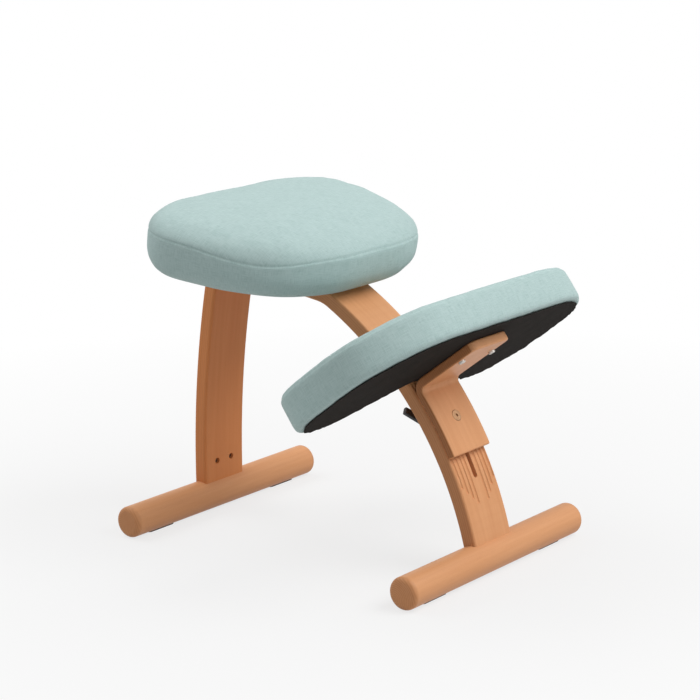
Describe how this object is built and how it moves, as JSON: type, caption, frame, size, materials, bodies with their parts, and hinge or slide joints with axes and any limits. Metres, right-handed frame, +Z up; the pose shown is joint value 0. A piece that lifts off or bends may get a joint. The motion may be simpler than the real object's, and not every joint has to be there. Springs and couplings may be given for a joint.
{
  "type": "kneeling chair",
  "caption": "Kneeling chair with a padded seat on bent wooden legs and a padded knee rest that slides along the curved front leg and is clamped by a lever.",
  "frame": {"origin": "on the floor, under the middle of the chair's width and length", "axes": "+Z up, +Y towards the rear foot bar, the knee rest at -Y, +X across the chair"},
  "size_m": [0.5632, 0.62, 0.5446],
  "materials": {
    "beech": "satin lacquer",
    "plywood": "raw",
    "mint_linen": "linen weave",
    "foam": "open-cell foam",
    "black_cloth": "non-woven",
    "zinc_steel": "zinc plated",
    "bronzed_steel": "bronzed",
    "brass": "turned",
    "black_plastic": "moulded",
    "rubber": "matte"
  },
  "bodies": {
    "frame": {"front_foot_bar": "beech", "rear_foot_bar": "beech", "front_leg": "beech", "rear_leg": "beech", "foot_pads": "rubber", "foot_bolts": "zinc_steel", "foot_bolt_washers": "zinc_steel", "barrel_nuts": "zinc_steel", "seat_board": "plywood", "seat_foam": "foam", "seat_cover": "mint_linen", "seat_dust_cover": "black_cloth", "seat_tee_nuts": "zinc_steel", "seat_bolts": "zinc_steel", "seat_bolt_washers": "zinc_steel"},
    "knee_rest": {"knee_bracket": "beech", "knee_board": "plywood", "knee_foam": "foam", "knee_cover": "mint_linen", "knee_dust_cover": "black_cloth", "bracket_tee_nuts": "zinc_steel", "bracket_bolts": "zinc_steel", "clamp_bolt": "bronzed_steel", "clamp_washer": "zinc_steel"},
    "lever": {"clamp_lever": "black_plastic", "lever_insert": "brass", "lever_cap": "black_plastic"}
  },
  "joints": [
    {"name": "knee_slide", "type": "hinge", "parent": "frame", "child": "knee_rest", "pos_m": [0, 0.27083, -0.087], "axis": [-1, 0, 0], "range_deg": [-9.29, 4.85]},
    {"name": "lever_turn", "type": "hinge", "parent": "knee_rest", "child": "lever", "pos_m": [0, -0.19979, 0.22924], "axis": [0, 0.83, -0.5577], "range_deg": [0, 150]}
  ]
}
